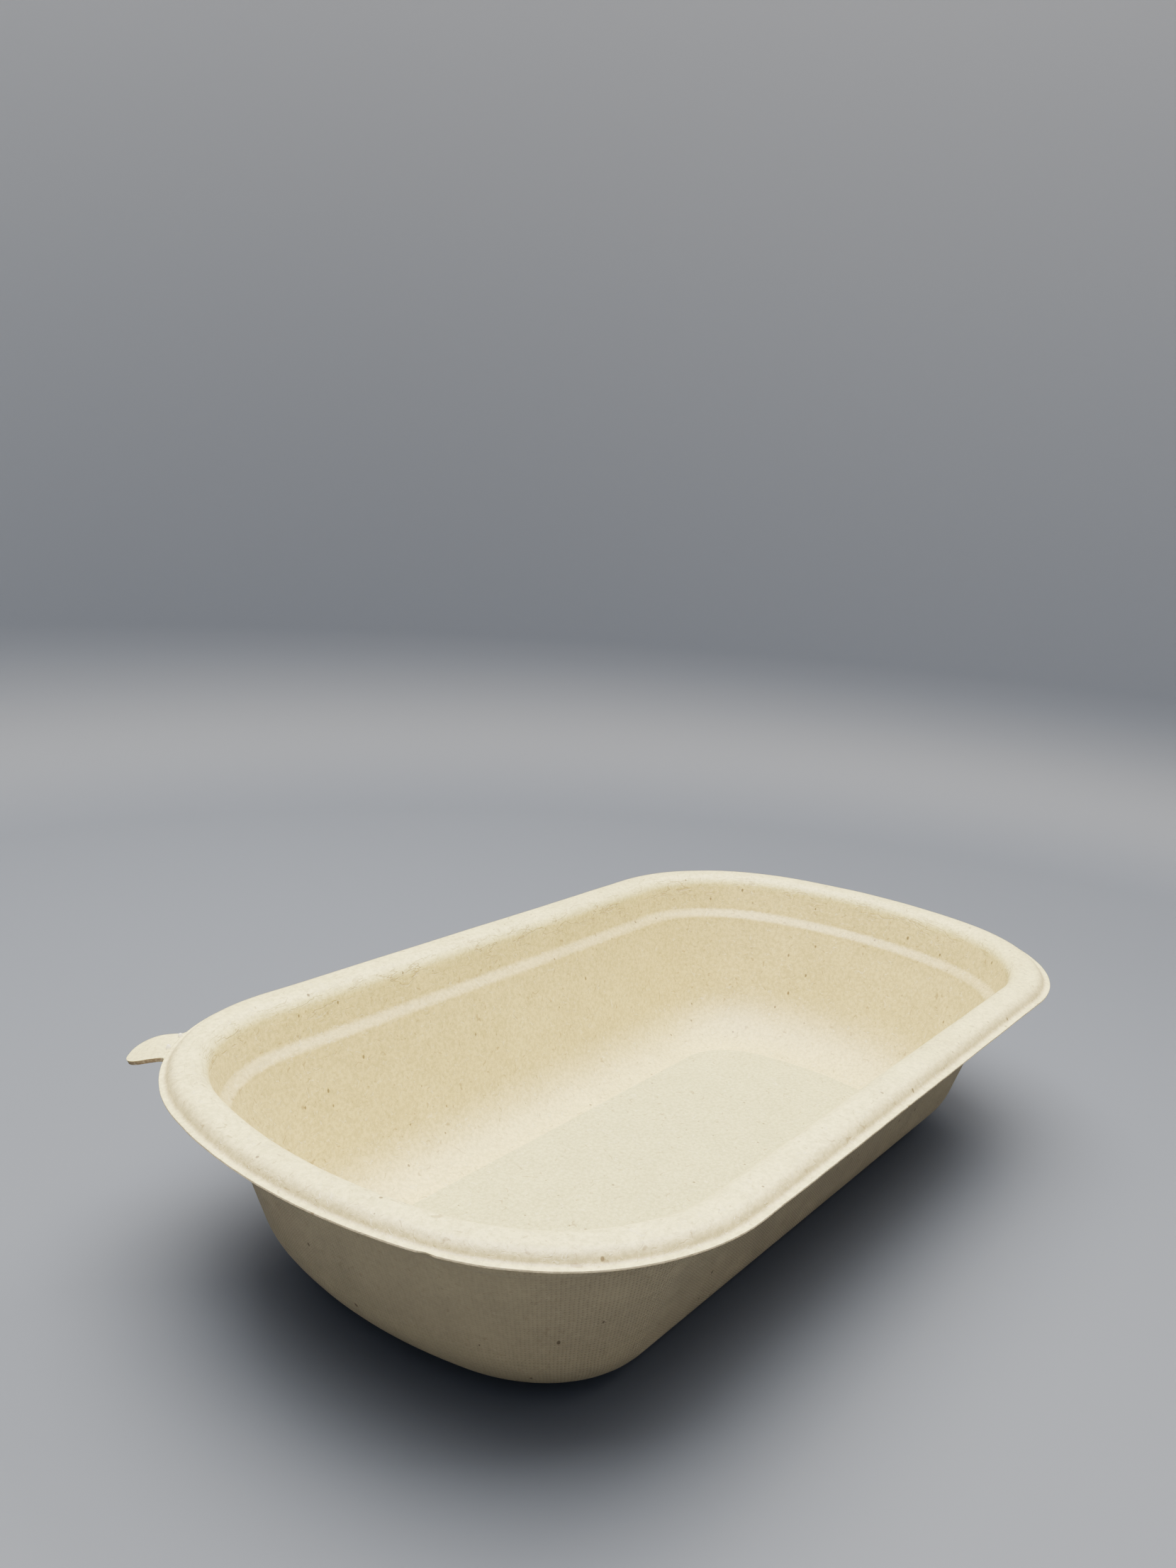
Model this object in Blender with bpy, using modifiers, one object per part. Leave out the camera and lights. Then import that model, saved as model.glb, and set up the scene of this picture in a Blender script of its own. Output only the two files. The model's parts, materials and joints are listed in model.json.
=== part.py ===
"""Moulded-fibre dish with a lift tab at one rim corner, modelled at its real size in metres.

The dish is one pressed wall of constant thickness: a flat lip, a rounded bead, a short steep
wall, a shoulder that a film or an insert rests on, a sloped wall, a wide cove and a flat floor.
The tab is part of the same moulding and bends about the crease at its root, so it is a body of
its own on a living hinge. Origin: centre of the flat underside. +X runs along the length, +Z up.
"""

import math

import bmesh
import bpy
from mathutils import Matrix, Vector

# Rim, seen from above
LENGTH = 0.230
WIDTH = 0.1262
RIM_CORNER_RADIUS = 0.0463
RIM_END_RADIUS = 0.107
WALL = 0.0009

# Heights above the surface the dish stands on
LIP_HEIGHT = 0.0431
BEAD_HEIGHT = 0.0020
SHOULDER_TOP_DROP = 0.0073
SHOULDER_FOOT_DROP = 0.0099

# Distances inwards from the lip's outer edge
LIP_WIDTH = 0.0017
BEAD_CREST_INSET = 0.0066
BEAD_FOOT_INSET = 0.0100
SHOULDER_TOP_INSET = {"side": 0.0105, "end": 0.0117}
SHOULDER_WIDTH = 0.0018
FLOOR_INSET = {"side": 0.0340, "end": 0.0376}

# Rounding
COVE_RADIUS = {"side": 0.015, "end": 0.021}
COVE_EXIT = {"side": math.radians(3.0), "end": math.radians(6.0)}
FLOOR_CORNER_RADIUS = 0.016
FLOOR_EDGE_BAND = 0.004

# Lift tab on the (-X, +Y) corner
TAB_WIDTH = 0.0113
TAB_LENGTH = 0.0086
TAB_CORNER_RADIUS = 0.0048
TAB_DROOP = math.radians(15.0)
TAB_THICKNESS = 0.0008
TAB_GAP = 0.00045
TAB_ANGLE = math.radians(126.0)
TAB_ROWS = 12

# Points along each quarter of an outline, and along each curved stretch of the section
END_POINTS = 3
CORNER_POINTS = 9
SIDE_POINTS = 2
BEAD_POINTS = 5
SHOULDER_POINTS = 4
COVE_POINTS = 7

FIBRE_COLOUR = (0.80, 0.75, 0.61, 1.0)
TAB_COLOUR = (0.78, 0.74, 0.61, 1.0)
FIBRE_ROUGHNESS = 0.62


def clear_scene():
    for old in list(bpy.data.objects):
        bpy.data.objects.remove(old, do_unlink=True)


def fibre_material(name, colour):
    material = bpy.data.materials.new(name)
    material.use_nodes = True
    shader = material.node_tree.nodes["Principled BSDF"]
    shader.inputs["Base Color"].default_value = colour
    shader.inputs["Roughness"].default_value = FIBRE_ROUGHNESS
    shader.inputs["Metallic"].default_value = 0.0
    return material


def add_object(name, mesh, material, collection):
    piece = bpy.data.objects.new(name, mesh)
    mesh.materials.append(material)
    collection.objects.link(piece)
    return piece


def ellipse_quarter(centre, reach, rise, first, last, count):
    """Points of an ellipse between two angles, the last one left out."""
    steps = [first + (last - first) * i / count for i in range(count)]
    return [(centre[0] + reach * math.cos(t), centre[1] + rise * math.sin(t)) for t in steps]


def bead_points():
    """The bead in section, from the lip over the crest to the top of the inner wall."""
    outer_reach = BEAD_CREST_INSET - LIP_WIDTH
    inner_reach = BEAD_FOOT_INSET - BEAD_CREST_INSET
    inner_rise = inner_reach
    outer = ellipse_quarter((BEAD_CREST_INSET, 0.0), outer_reach, BEAD_HEIGHT,
                            math.pi, math.pi / 2, BEAD_POINTS)
    inner = ellipse_quarter((BEAD_CREST_INSET, BEAD_HEIGHT - inner_rise), inner_reach, inner_rise,
                            math.pi / 2, 0.0, BEAD_POINTS)
    return outer + inner + [(BEAD_FOOT_INSET, BEAD_HEIGHT - inner_rise)]


def shoulder_points(side):
    """A soft S from the steep upper wall to the sloped lower wall."""
    points = []
    for i in range(SHOULDER_POINTS + 1):
        t = i / SHOULDER_POINTS
        drop = SHOULDER_TOP_DROP + (SHOULDER_FOOT_DROP - SHOULDER_TOP_DROP) * t
        inset = SHOULDER_TOP_INSET[side] + SHOULDER_WIDTH * (1 - math.cos(math.pi * t)) / 2
        points.append((inset, -drop))
    return points


def cove_points(side, foot):
    """The arc that leaves the wall tangentially and meets the floor at the exit slope."""
    radius = COVE_RADIUS[side]
    slope = COVE_EXIT[side]
    edge = Vector((FLOOR_INSET[side], WALL - LIP_HEIGHT))
    centre = edge + radius * Vector((math.sin(slope), math.cos(slope)))
    from_centre = Vector(foot) - centre
    tangent = math.atan2(from_centre.y, from_centre.x) + math.acos(radius / from_centre.length)
    end = 1.5 * math.pi - slope
    start = tangent % (2 * math.pi)
    steps = [start + (end - start) * i / COVE_POINTS for i in range(COVE_POINTS + 1)]
    return [(centre.x + radius * math.cos(t), centre.y + radius * math.sin(t)) for t in steps]


def section(side):
    """The upper surface in section: (inset from the lip's edge, height over the lip)."""
    shoulder = shoulder_points(side)
    points = [(0.0, 0.0)] + bead_points() + shoulder + cove_points(side, shoulder[-1])
    inset, height = points[-1]
    return points + [(inset + FLOOR_EDGE_BAND, height)]


def corner_radius(inset):
    """Parallel to the rim down to the shoulder, then easing to the floor's own corner."""
    start = BEAD_FOOT_INSET
    if inset <= start:
        return RIM_CORNER_RADIUS - inset
    share = (inset - start) / (FLOOR_INSET["side"] - start)
    rim_radius = RIM_CORNER_RADIUS - start
    return rim_radius + (FLOOR_CORNER_RADIUS - rim_radius) * min(share, 1.0)


def quarter_outline(inset_side, inset_end):
    """(x, y, share) from the middle of the +X end to the middle of the +Y side.

    share is 1 on the bowed end, 0 on the straight side, and eases between them on the corner.
    """
    half_length = LENGTH / 2 - inset_end
    half_width = WIDTH / 2 - inset_side
    corner = corner_radius(inset_side)
    end_radius = RIM_END_RADIUS - inset_side
    end_centre = half_length - end_radius
    corner_y = half_width - corner
    reach = end_radius - corner
    corner_x = end_centre + math.sqrt(reach * reach - corner_y * corner_y)
    turn = math.atan2(corner_y, corner_x - end_centre)
    points = []
    for i in range(END_POINTS):
        angle = turn * i / END_POINTS
        points.append((end_centre + end_radius * math.cos(angle), end_radius * math.sin(angle), 1.0))
    for i in range(CORNER_POINTS):
        t = i / CORNER_POINTS
        angle = turn + (math.pi / 2 - turn) * t
        share = (1 + math.cos(math.pi * t)) / 2
        points.append((corner_x + corner * math.cos(angle), corner_y + corner * math.sin(angle), share))
    for i in range(SIDE_POINTS + 1):
        points.append((corner_x * (1 - i / SIDE_POINTS), half_width, 0.0))
    return points


def full_outline(inset_side, inset_end):
    """The whole outline, anticlockwise from the middle of the +X end."""
    quarter = quarter_outline(inset_side, inset_end)
    second = [(-x, y, share) for x, y, share in reversed(quarter[:-1])]
    half = quarter + second
    return half + [(x, -y, share) for x, y, share in reversed(half[1:-1])]


def make_dish(collection):
    mesh = bmesh.new()
    rings = []
    for (inset_side, low_side), (inset_end, low_end) in zip(section("side"), section("end")):
        ring = []
        for x, y, share in full_outline(inset_side, inset_end):
            height = LIP_HEIGHT + low_side + (low_end - low_side) * share
            ring.append(mesh.verts.new((x, y, height)))
        rings.append(ring)
    for outer, inner in zip(rings, rings[1:]):
        for i in range(len(outer)):
            j = (i + 1) % len(outer)
            mesh.faces.new((outer[i], outer[j], inner[j], inner[i]))
    mesh.faces.new(rings[-1])
    bmesh.ops.recalc_face_normals(mesh, faces=mesh.faces[:])
    if mesh.faces[-1].normal.z < 0:
        bmesh.ops.reverse_faces(mesh, faces=mesh.faces[:])
    data = bpy.data.meshes.new("dish")
    mesh.to_mesh(data)
    mesh.free()
    data.shade_smooth()
    dish = add_object("dish", data, fibre_material("dish_fibre", FIBRE_COLOUR), collection)
    shell = dish.modifiers.new("wall", "SOLIDIFY")
    shell.thickness = WALL
    shell.offset = -1.0
    shell.use_even_offset = True
    return dish


def tab_half_width(along):
    """Half the tab's width at a distance from its root."""
    start = TAB_LENGTH - TAB_CORNER_RADIUS
    if along <= start:
        return TAB_WIDTH / 2
    past = min(along - start, TAB_CORNER_RADIUS)
    return TAB_WIDTH / 2 - TAB_CORNER_RADIUS + math.sqrt(TAB_CORNER_RADIUS ** 2 - past * past)


def rim_corner_centre():
    """Centre of the (-X, +Y) corner arc of the lip's outer edge."""
    quarter_x = LENGTH / 2 - RIM_END_RADIUS
    corner_y = WIDTH / 2 - RIM_CORNER_RADIUS
    reach = RIM_END_RADIUS - RIM_CORNER_RADIUS
    return Vector((-(quarter_x + math.sqrt(reach * reach - corner_y * corner_y)), corner_y, 0.0))


def make_tab(collection):
    """A rounded plate that droops from its root. Its own +X points away from the rim."""
    mesh = bmesh.new()
    start = TAB_LENGTH - TAB_CORNER_RADIUS
    stations = [0.0, start / 2]
    for i in range(TAB_ROWS + 1):
        stations.append(start + TAB_CORNER_RADIUS * math.sin(math.pi / 2 * i / TAB_ROWS))
    rows = []
    for along in stations:
        half = tab_half_width(along)
        reach = along * math.cos(TAB_DROOP)
        drop = along * math.sin(TAB_DROOP)
        rows.append([mesh.verts.new((reach, half * side, -drop)) for side in (-1.0, 1.0)])
    for near, far in zip(rows, rows[1:]):
        mesh.faces.new((near[0], far[0], far[1], near[1]))
    bmesh.ops.recalc_face_normals(mesh, faces=mesh.faces[:])
    if mesh.faces[0].normal.z < 0:
        bmesh.ops.reverse_faces(mesh, faces=mesh.faces[:])
    data = bpy.data.meshes.new("lift_tab")
    mesh.to_mesh(data)
    mesh.free()
    tab = add_object("lift_tab", data, fibre_material("tab_fibre", TAB_COLOUR), collection)
    plate = tab.modifiers.new("plate", "SOLIDIFY")
    plate.thickness = TAB_THICKNESS
    plate.offset = -1.0
    outward = Vector((math.cos(TAB_ANGLE), math.sin(TAB_ANGLE), 0.0))
    root = rim_corner_centre() + outward * (RIM_CORNER_RADIUS + TAB_GAP)
    root.z = LIP_HEIGHT - TAB_THICKNESS / 2
    tab.matrix_world = Matrix.Translation(root) @ Matrix.Rotation(TAB_ANGLE, 4, "Z")
    data.transform(Matrix.Translation((0.0, 0.0, TAB_THICKNESS / 2)))
    return tab


def main():
    clear_scene()
    parts = bpy.data.collections.new("fibre_dish")
    bpy.context.scene.collection.children.link(parts)
    make_dish(parts)
    make_tab(parts)


main()
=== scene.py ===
"""Looks of the moulded-fibre dish: one pressed wall with a rolled bead, a shoulder, a wide cove and a
flat floor, and the small lift tab at one rim corner that bends about its crease."""

import json
import math

import bmesh
import bpy
from mathutils import Matrix, Vector, noise
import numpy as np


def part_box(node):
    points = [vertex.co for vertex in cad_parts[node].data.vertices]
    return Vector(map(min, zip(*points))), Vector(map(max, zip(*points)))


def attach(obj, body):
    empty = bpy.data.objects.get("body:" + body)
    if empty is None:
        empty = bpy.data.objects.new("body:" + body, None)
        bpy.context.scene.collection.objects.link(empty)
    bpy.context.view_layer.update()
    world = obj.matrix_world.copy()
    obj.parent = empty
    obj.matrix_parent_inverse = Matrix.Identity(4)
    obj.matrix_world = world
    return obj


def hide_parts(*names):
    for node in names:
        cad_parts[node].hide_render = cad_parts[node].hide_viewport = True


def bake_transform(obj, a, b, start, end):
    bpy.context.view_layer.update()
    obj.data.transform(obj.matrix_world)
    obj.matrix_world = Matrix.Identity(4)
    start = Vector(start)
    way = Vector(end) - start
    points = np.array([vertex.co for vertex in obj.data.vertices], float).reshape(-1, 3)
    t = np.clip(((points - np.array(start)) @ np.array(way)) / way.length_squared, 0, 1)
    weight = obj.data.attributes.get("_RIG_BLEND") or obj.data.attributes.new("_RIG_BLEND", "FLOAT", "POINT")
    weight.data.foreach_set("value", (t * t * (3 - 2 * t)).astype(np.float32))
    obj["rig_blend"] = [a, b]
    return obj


bl_info = {
    "name": "Moulded Fibre Dish",
    "version": (1, 0, 0),
    "blender": (4, 5, 0),
    "location": "View3D > Sidebar > Fibre Dish",
    "description": "Builds a pressed plant-fibre dish with a lift tab, its materials and its studio",
    "category": "Add Mesh",
}

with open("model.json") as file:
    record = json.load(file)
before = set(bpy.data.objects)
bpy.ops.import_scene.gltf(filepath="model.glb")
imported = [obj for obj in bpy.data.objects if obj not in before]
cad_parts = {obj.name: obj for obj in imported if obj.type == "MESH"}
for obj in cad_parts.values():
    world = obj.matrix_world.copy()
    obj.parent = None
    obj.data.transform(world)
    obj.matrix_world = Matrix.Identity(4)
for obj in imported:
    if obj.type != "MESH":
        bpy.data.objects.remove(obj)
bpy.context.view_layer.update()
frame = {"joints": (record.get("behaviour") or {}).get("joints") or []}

MM = 0.001
DISH_LOW, DISH_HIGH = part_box("dish")
HINGE = frame["joints"][0]
HINGE_SPOT = Vector(HINGE["pos_m"])
TAB_ANGLE = math.atan2(HINGE["axis"][0], -HINGE["axis"][1])
TAB_OUT = Vector((math.cos(TAB_ANGLE), math.sin(TAB_ANGLE), 0.0))
TAB_ALONG = Vector((-TAB_OUT.y, TAB_OUT.x, 0.0))
CAD_TAB_THICKNESS = 0.8 * MM
LIP_TOP = HINGE_SPOT.z + CAD_TAB_THICKNESS / 2

# Stations round the rim: steps along half an end, a corner, half a side, and across the tab's root
END_STEPS = 18
CORNER_STEPS = 38
SIDE_STEPS = 34
ROOT_STEPS = 30

# Extra reach at the tab's corner: its share at each inset, in mm, and how far round it spreads
CORNER_REACH = ((0.0, 0.0), (1.0, 0.25), (2.0, 0.35), (6.8, 0.8), (13.0, 1.0), (34.0, 0.0))
CORNER_SPREAD = math.radians(26.0)

# Rings of the wall, counted from the lip's edge: how thin the lip is, how much painted shade darkens its
# hollow and the bead's outer flank, the last ring that always has the rim's colour, and the first that can be
# creased
FEATHER_SHARES = {0: 0.40, 1: 0.55, 2: 0.75, 3: 0.9}
GROOVE_SHADE_SHARES = {4: 0.35, 5: 0.8, 6: 1.0, 7: 1.0, 8: 1.0, 9: 1.0, 10: 0.94, 11: 0.86, 12: 0.76,
                 13: 0.64, 14: 0.52, 15: 0.38, 16: 0.25, 17: 0.14, 18: 0.06}
RIM_LAST_ROW = 12
CREASE_FIRST_ROW = 19

# The fillets at the tab's root, and the two nubs at its crease: out of the lip, and along the crease
TAB_FILLET = 0.9 * MM
NUB_SPOTS = {"crease_nub_left": (0.4 * MM, 1.7 * MM), "crease_nub_right": (0.0, -4.0 * MM)}

# Material slots. Solidify adds SLOT_OUTSIDE to a face's slot on its far side, and SLOT_CUT on the edge
SLOT_INSIDE, SLOT_FLOOR, SLOT_OUTSIDE, SLOT_UNDERSIDE, SLOT_CUT = range(5)

# Tints of the fibre, and painted light: painted shade in the lip's hollow, the screen's pits and the creases,
# painted sheen in the cove, torn fibre with painted shade on the tab's edge, pale fibre with a painted glint
# on the nubs
GROOVE_PAINTED_SHADE = (0.51, 0.43, 0.235, 1.0)
COVE_PAINTED_SHEEN = (0.85, 0.77, 0.31, 1.0)
FAINT_STRAND = (0.30, 0.22, 0.10, 1.0)
DARK_STRAND = (0.20, 0.13, 0.06, 1.0)
PALE_STRAND = (0.95, 0.90, 0.60, 1.0)
PIT_SHADE = (0.11, 0.09, 0.06, 1.0)
CREASE_SHADE = (0.30, 0.22, 0.12, 1.0)
TORN_FIBRE_AND_SHADE = (0.22, 0.15, 0.08, 1.0)
NUB_FIBRE_AND_GLINT = (0.98, 0.96, 0.78, 1.0)
WARM_LIGHT = (1.0, 0.93, 0.80)


# ---------------------------------------------------------------- sizes and colours


class FibreDishSizes(bpy.types.PropertyGroup):
    """Sizes of the pressed wall, in metres."""

    wall: bpy.props.FloatProperty(
        name="Wall", description="Thickness of the pressed fibre", default=0.85 * MM, unit="LENGTH")
    rim_corner: bpy.props.FloatProperty(
        name="Rim corner", description="Radius of the lip's corners, seen from above",
        default=46.3 * MM, unit="LENGTH")
    rim_end: bpy.props.FloatProperty(
        name="Rim end", description="Radius of the slightly bowed short ends",
        default=107.0 * MM, unit="LENGTH")
    lip_flat: bpy.props.FloatProperty(
        name="Lip flat", description="Flat width of the lip before the bead's fillet",
        default=1.0 * MM, unit="LENGTH")
    lip_fillet: bpy.props.FloatProperty(
        name="Lip fillet", description="Radius of the hollow between lip and bead",
        default=0.7 * MM, unit="LENGTH")
    crest_side: bpy.props.FloatProperty(
        name="Crest inset, sides", description="From the lip's edge to the bead's crest on the long sides",
        default=6.8 * MM, unit="LENGTH")
    crest_end: bpy.props.FloatProperty(
        name="Crest inset, ends", description="From the lip's edge to the bead's crest on the short ends",
        default=6.4 * MM, unit="LENGTH")
    bead_roll: bpy.props.FloatProperty(
        name="Bead roll", description="Radius of the bead's inner side", default=3.4 * MM, unit="LENGTH")
    shoulder_side: bpy.props.FloatProperty(
        name="Shoulder top, sides", description="Drop from the lip to the shoulder on the long sides",
        default=6.6 * MM, unit="LENGTH")
    shoulder_end: bpy.props.FloatProperty(
        name="Shoulder top, ends", description="Drop from the lip to the shoulder on the short ends",
        default=7.4 * MM, unit="LENGTH")
    shoulder_drop: bpy.props.FloatProperty(
        name="Shoulder drop", description="Height of the shoulder's soft step", default=2.9 * MM,
        unit="LENGTH")
    shoulder_width: bpy.props.FloatProperty(
        name="Shoulder width", description="How far the shoulder steps inwards", default=2.4 * MM,
        unit="LENGTH")
    floor_side: bpy.props.FloatProperty(
        name="Floor inset, sides", description="From the lip's edge to the floor's edge on the long sides",
        default=34.0 * MM, unit="LENGTH")
    floor_end: bpy.props.FloatProperty(
        name="Floor inset, ends", description="From the lip's edge to the floor's edge on the short ends",
        default=37.6 * MM, unit="LENGTH")
    floor_corner: bpy.props.FloatProperty(
        name="Floor corner", description="Radius of the floor panel's corners", default=16.0 * MM,
        unit="LENGTH")
    cove_side: bpy.props.FloatProperty(
        name="Cove, sides", description="Radius of the cove along the long sides", default=15.0 * MM,
        unit="LENGTH")
    cove_end: bpy.props.FloatProperty(
        name="Cove, ends", description="Radius of the cove along the short ends", default=21.0 * MM,
        unit="LENGTH")
    corner_reach: bpy.props.FloatProperty(
        name="Corner reach", description="How much closer the form comes to the rim at the tab's corner",
        default=1.6 * MM, unit="LENGTH")
    tab_width: bpy.props.FloatProperty(
        name="Tab width", description="Width of the lift tab", default=11.3 * MM, unit="LENGTH")
    tab_length: bpy.props.FloatProperty(
        name="Tab length", description="How far the tab stands out of the lip", default=8.6 * MM,
        unit="LENGTH")
    tab_round: bpy.props.FloatProperty(
        name="Tab rounding", description="Radius of the tab's outer corners", default=4.8 * MM,
        unit="LENGTH")
    screen_pitch: bpy.props.FloatProperty(
        name="Screen pitch", description="Spacing of the forming screen's wires", default=0.66 * MM,
        unit="LENGTH")


COLOUR = {"subtype": "COLOR", "size": 4, "min": 0.0, "max": 1.0}


class FibreDishColours(bpy.types.PropertyGroup):
    """Colours of the fibre."""

    rim: bpy.props.FloatVectorProperty(
        name="Rim", description="Smooth pale fibre of the lip and bead",
        default=(0.89, 0.838, 0.38, 1.0), **COLOUR)
    inside: bpy.props.FloatVectorProperty(
        name="Inside", description="Warm fibre of the inner wall",
        default=(0.655, 0.57, 0.225, 1.0), **COLOUR)
    floor: bpy.props.FloatVectorProperty(
        name="Floor", description="Slightly greyer fibre of the floor panel",
        default=(0.60, 0.585, 0.27, 1.0), **COLOUR)
    outside: bpy.props.FloatVectorProperty(
        name="Outside", description="Fibre of the screen side",
        default=(0.43, 0.36, 0.222, 1.0), **COLOUR)
    cut: bpy.props.FloatVectorProperty(
        name="Cut edge", description="Torn brown fibre of the trimmed edge",
        default=(0.74, 0.63, 0.40, 1.0), **COLOUR)
    speck: bpy.props.FloatVectorProperty(
        name="Specks", description="Dark bits of bark in the pulp",
        default=(0.13, 0.09, 0.05, 1.0), **COLOUR)
    paving: bpy.props.FloatVectorProperty(
        name="Floor of the studio", description="Table that the dish stands on",
        default=(0.104, 0.122, 0.162, 1.0), **COLOUR)


# ---------------------------------------------------------------- the wall in section and in plan


def arc(centre, reach, rise, first, last, count):
    """Points of an ellipse from one angle to another, in degrees, the last one left out."""
    points = []
    for i in range(count):
        t = math.radians(first + (last - first) * i / count)
        points.append((centre[0] + reach * math.cos(t), centre[1] + rise * math.sin(t)))
    return points


def straight(start, end, count):
    """Points of a line, the last one left out."""
    return [(start[0] + (end[0] - start[0]) * i / count,
             start[1] + (end[1] - start[1]) * i / count) for i in range(count)]


def rim_section(sizes, crest_inset):
    """Lip, fillet and bead: (inset, height over the lip)."""
    crest = DISH_HIGH.z - LIP_TOP
    fillet = sizes.lip_fillet
    steep, gentle = 66.0, 5.0
    sin_steep, cos_steep = math.sin(math.radians(steep)), math.cos(math.radians(steep))
    sin_gentle, cos_gentle = math.sin(math.radians(gentle)), math.cos(math.radians(gentle))
    lip = straight((0.0, 0.0), (sizes.lip_flat, 0.0), 4)
    hollow = arc((sizes.lip_flat, fillet), fillet, fillet, -90.0, steep - 90.0, 4)
    foot = (sizes.lip_flat + fillet * sin_steep, fillet * (1 - cos_steep))
    # The flank's radius follows from its rise, once the nearly flat top has had its own small share
    run, rise = crest_inset - foot[0], crest - foot[1]
    top_rise = math.tan(math.radians(gentle / 2))
    flank = (rise - run * top_rise) / (cos_gentle - cos_steep - (sin_steep - sin_gentle) * top_rise)
    flank_centre = (foot[0] + flank * sin_steep, foot[1] - flank * cos_steep)
    outer = arc(flank_centre, flank, flank, 90.0 + steep, 90.0 + gentle, 9)
    shoulder = (flank_centre[0] - flank * sin_gentle, flank_centre[1] + flank * cos_gentle)
    top = (crest_inset - shoulder[0]) / sin_gentle
    flat_top = arc((crest_inset, crest - top), top, top, 90.0 + gentle, 90.0, 4)
    inner = arc((crest_inset, crest - sizes.bead_roll), sizes.bead_roll, sizes.bead_roll, 90.0, 4.0, 10)
    return lip + hollow + outer + flat_top + inner


def cove_section(start, edge, radius, slope, steps):
    """From the wall's end tangentially into the cove and out at the floor's edge."""
    centre = Vector(edge) + radius * Vector((math.sin(slope), math.cos(slope)))
    out = Vector(start) - centre
    first = (math.atan2(out.y, out.x) + math.acos(radius / out.length)) % (2 * math.pi)
    last = 1.5 * math.pi - slope
    touch = (centre.x + radius * math.cos(first), centre.y + radius * math.sin(first))
    bend = arc(centre, radius, radius, math.degrees(first), math.degrees(last), steps)
    last_step = 0.3 * MM
    before_edge = (edge[0] - last_step * math.cos(slope), edge[1] + last_step * math.sin(slope))
    return straight(start, touch, 9) + bend + [before_edge, tuple(edge)]


def wall_section(sizes, side):
    """The whole upper surface on a long side or a short end: (inset, height over the lip)."""
    crest_inset = sizes.crest_side if side else sizes.crest_end
    points = rim_section(sizes, crest_inset)
    steep_run = (1.3 if side else 1.9) * MM
    top_inset = crest_inset + sizes.bead_roll + steep_run
    top_drop = sizes.shoulder_side if side else sizes.shoulder_end
    top = (top_inset, -top_drop)
    roll_end = (crest_inset + sizes.bead_roll, DISH_HIGH.z - LIP_TOP - sizes.bead_roll)
    points += straight(roll_end, top, 5)
    steps = 9
    for i in range(steps):
        t = i / steps
        inset = top_inset + sizes.shoulder_width * (1 - math.cos(math.pi * t)) / 2
        points.append((inset, -top_drop - sizes.shoulder_drop * t))
    foot = (top_inset + sizes.shoulder_width, -top_drop - sizes.shoulder_drop)
    edge = (sizes.floor_side if side else sizes.floor_end, sizes.wall - LIP_TOP)
    radius = sizes.cove_side if side else sizes.cove_end
    slope = math.radians(4.0 if side else 7.0)
    return points + cove_section(foot, edge, radius, slope, 14)


def corner_shares(root_low, root_high):
    """Steps along a corner from its end to its side, closer together across the tab's root."""
    shares = [i / CORNER_STEPS for i in range(CORNER_STEPS)]
    if root_low is None:
        return shares
    root = [root_low + (root_high - root_low) * i / ROOT_STEPS for i in range(ROOT_STEPS + 1)]
    margin = 0.4 / CORNER_STEPS
    outside = [t for t in shares if t < root_low - margin or t > root_high + margin]
    return sorted(outside + root)


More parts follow.
